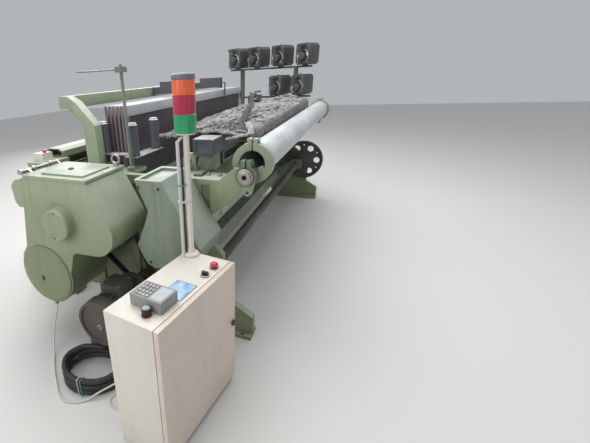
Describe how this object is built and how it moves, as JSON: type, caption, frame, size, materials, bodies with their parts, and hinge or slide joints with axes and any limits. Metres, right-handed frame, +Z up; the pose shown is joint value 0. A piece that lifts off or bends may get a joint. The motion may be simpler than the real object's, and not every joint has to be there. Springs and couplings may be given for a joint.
{
  "type": "power loom",
  "caption": "Power loom with a back-rest roller, harness frames under a portal, closed drive housings, weft feeders on a stand and a control cabinet with a signal light.",
  "frame": {"origin": "floor level, in the middle of the whole object's length and depth, 128 mm from the loom's own middle", "axes": "+X along the loom's length from the drive end to the weft feeders, +Y towards the weaver's side, +Z up"},
  "size_m": [3.7758, 1.612, 1.539],
  "materials": {
    "green_paint": "worn satin",
    "dark_casting": "oily satin",
    "dark_steel": "satin",
    "white_tube": "satin",
    "bare_steel": "brushed",
    "light_alloy": "satin",
    "slate_paint": "satin",
    "rubber_black": "matt",
    "grip_brown": "matt",
    "cabinet_cream": "eggshell",
    "device_gray": "matt",
    "gear_plastic": "matt",
    "lens_green": "gloss",
    "lens_red": "gloss",
    "lens_orange": "gloss",
    "cap_gray": "matt",
    "cable_white": "matt",
    "button_red": "gloss",
    "button_black": "matt",
    "yarn": "matt",
    "feeder_dark": "satin",
    "feeder_pale": "gloss"
  },
  "bodies": {
    "loom": {"near_side_frame": "green_paint", "far_side_frame": "green_paint", "cross_beams": "dark_casting", "rear_tie_bar": "dark_steel", "near_rear_arm": "green_paint", "far_rear_arm": "green_paint", "drive_housing": "green_paint", "housing_lid": "green_paint", "shaft_cover": "green_paint", "round_cover": "green_paint", "slanted_guard": "green_paint", "far_drive_housing": "green_paint", "harness_arch": "green_paint", "frame_guides": "slate_paint", "post_shelf": "dark_steel", "guide_rod": "green_paint", "stop_motion": "slate_paint", "warp_sheet": "yarn", "breast_beam": "green_paint", "motor_housing": "dark_casting", "drive_belt": "rubber_black", "feeder_stand": "feeder_dark", "cabinet_body": "cabinet_cream", "cabinet_gear": "gear_plastic", "instrument_box": "device_gray", "stack_pole": "cabinet_cream", "stack_green": "lens_green", "stack_red": "lens_red", "stack_orange": "lens_orange", "stack_cap": "cap_gray", "stack_cable": "cable_white", "button_station": "cabinet_cream", "power_cable": "rubber_black", "signal_cable": "cable_white"},
    "backrest": {"backrest_tube": "white_tube", "near_end_ring": "green_paint", "far_end_ring": "green_paint"},
    "take_up": {"take_up_roller": "grip_brown"},
    "pressure": {"pressure_roller": "bare_steel"},
    "cloth": {"cloth_roller": "bare_steel"},
    "sley_body": {"sley": "green_paint", "reed": "light_alloy"},
    "main_drive": {"main_shaft": "dark_casting"},
    "motor_rotor": {"motor_pulley": "dark_casting"},
    "beam_drive": {"beam_disc": "dark_casting"},
    "door": {"cabinet_door": "cabinet_cream"},
    "latch": {"door_latch": "bare_steel"},
    "stop": {"stop_button": "button_red"},
    "selector": {"selector_switch": "button_black"},
    "knob": {"control_knob": "button_black"},
    "station": {"station_button": "button_red"},
    "harness_1": {"harness_frame_1": "light_alloy"},
    "harness_2": {"harness_frame_2": "light_alloy"},
    "harness_3": {"harness_frame_3": "light_alloy"},
    "harness_4": {"harness_frame_4": "light_alloy"},
    "harness_5": {"harness_frame_5": "light_alloy"},
    "harness_6": {"harness_frame_6": "light_alloy"},
    "feeder_1": {"feeder_ring_1": "feeder_pale"},
    "feeder_2": {"feeder_ring_2": "feeder_pale"},
    "feeder_3": {"feeder_ring_3": "feeder_pale"}
  },
  "joints": [
    {"name": "backrest_swing", "type": "hinge", "parent": "loom", "child": "backrest", "pos_m": [0.128, -0.707, 0.873], "axis": [1, 0, 0], "range_deg": [-10, 10]},
    {"name": "take_up_spin", "type": "hinge", "parent": "loom", "child": "take_up", "pos_m": [0.128, 0.59, 0.72], "axis": [1, 0, 0], "continuous": true},
    {"name": "pressure_spin", "type": "hinge", "parent": "loom", "child": "pressure", "pos_m": [0.128, 0.5, 0.652], "axis": [1, 0, 0], "continuous": true},
    {"name": "cloth_spin", "type": "hinge", "parent": "loom", "child": "cloth", "pos_m": [0.128, 0.6, 0.38], "axis": [1, 0, 0], "continuous": true},
    {"name": "sley_swing", "type": "hinge", "parent": "loom", "child": "sley_body", "pos_m": [0.128, 0.33, 0.43], "axis": [-1, 0, 0], "range_deg": [0, 14]},
    {"name": "main_spin", "type": "hinge", "parent": "loom", "child": "main_drive", "pos_m": [0.128, 0.06, 0.56], "axis": [1, 0, 0], "continuous": true},
    {"name": "motor_spin", "type": "hinge", "parent": "loom", "child": "motor_rotor", "pos_m": [0.128, -0.155, 0.251], "axis": [1, 0, 0], "continuous": true},
    {"name": "beam_spin", "type": "hinge", "parent": "loom", "child": "beam_drive", "pos_m": [1.25, -0.606, 0.425], "axis": [1, 0, 0], "continuous": true},
    {"name": "door_swing", "type": "hinge", "parent": "loom", "child": "door", "pos_m": [-1.88497, -0.66122, 0.3], "axis": [0, 0, -1], "range_deg": [0, 120]},
    {"name": "latch_turn", "type": "hinge", "parent": "door", "child": "latch", "pos_m": [-1.41402, -0.75115, 0.324], "axis": [0.1444, 0.9895, 0], "range_deg": [0, 90]},
    {"name": "stop_press", "type": "slide", "parent": "loom", "child": "stop", "axis": [0, 0, -1], "range_m": [0, 0.006], "stiffness_N_per_m": 600, "springref_m": -0.002},
    {"name": "selector_turn", "type": "hinge", "parent": "loom", "child": "selector", "pos_m": [-1.52822, -0.68194, 0.6], "axis": [0, 0, 1], "range_deg": [-45, 45]},
    {"name": "knob_turn", "type": "hinge", "parent": "loom", "child": "knob", "pos_m": [-1.82186, -0.60272, 0.6], "axis": [0, 0, 1], "range_deg": [0, 270]},
    {"name": "station_press", "type": "slide", "parent": "loom", "child": "station", "axis": [0, 0, -1], "range_m": [0, 0.005], "stiffness_N_per_m": 500, "springref_m": -0.002},
    {"name": "harness_1_lift", "type": "slide", "parent": "loom", "child": "harness_1", "axis": [0, 0, 1], "range_m": [-0.075, 0.015]},
    {"name": "harness_2_lift", "type": "slide", "parent": "loom", "child": "harness_2", "axis": [0, 0, 1], "range_m": [-0.075, 0.015]},
    {"name": "harness_3_lift", "type": "slide", "parent": "loom", "child": "harness_3", "axis": [0, 0, 1], "range_m": [-0.075, 0.015]},
    {"name": "harness_4_lift", "type": "slide", "parent": "loom", "child": "harness_4", "axis": [0, 0, 1], "range_m": [-0.075, 0.015]},
    {"name": "harness_5_lift", "type": "slide", "parent": "loom", "child": "harness_5", "axis": [0, 0, 1], "range_m": [-0.075, 0.015]},
    {"name": "harness_6_lift", "type": "slide", "parent": "loom", "child": "harness_6", "axis": [0, 0, 1], "range_m": [-0.075, 0.015]},
    {"name": "feeder_1_spin", "type": "hinge", "parent": "loom", "child": "feeder_1", "pos_m": [1.739, 0.031, 1.415], "axis": [-0.9397, 0.342, 0], "continuous": true},
    {"name": "feeder_2_spin", "type": "hinge", "parent": "loom", "child": "feeder_2", "pos_m": [1.739, -0.229, 1.415], "axis": [-0.9397, 0.342, 0], "continuous": true},
    {"name": "feeder_3_spin", "type": "hinge", "parent": "loom", "child": "feeder_3", "pos_m": [1.739, -0.489, 1.415], "axis": [-0.9397, 0.342, 0], "continuous": true}
  ],
  "couplings": [
    {"joint": "pressure_spin", "follows": "take_up_spin", "ratio": -2.3438},
    {"joint": "cloth_spin", "follows": "take_up_spin", "ratio": 1.25},
    {"joint": "motor_spin", "follows": "main_spin", "ratio": 2.5}
  ]
}
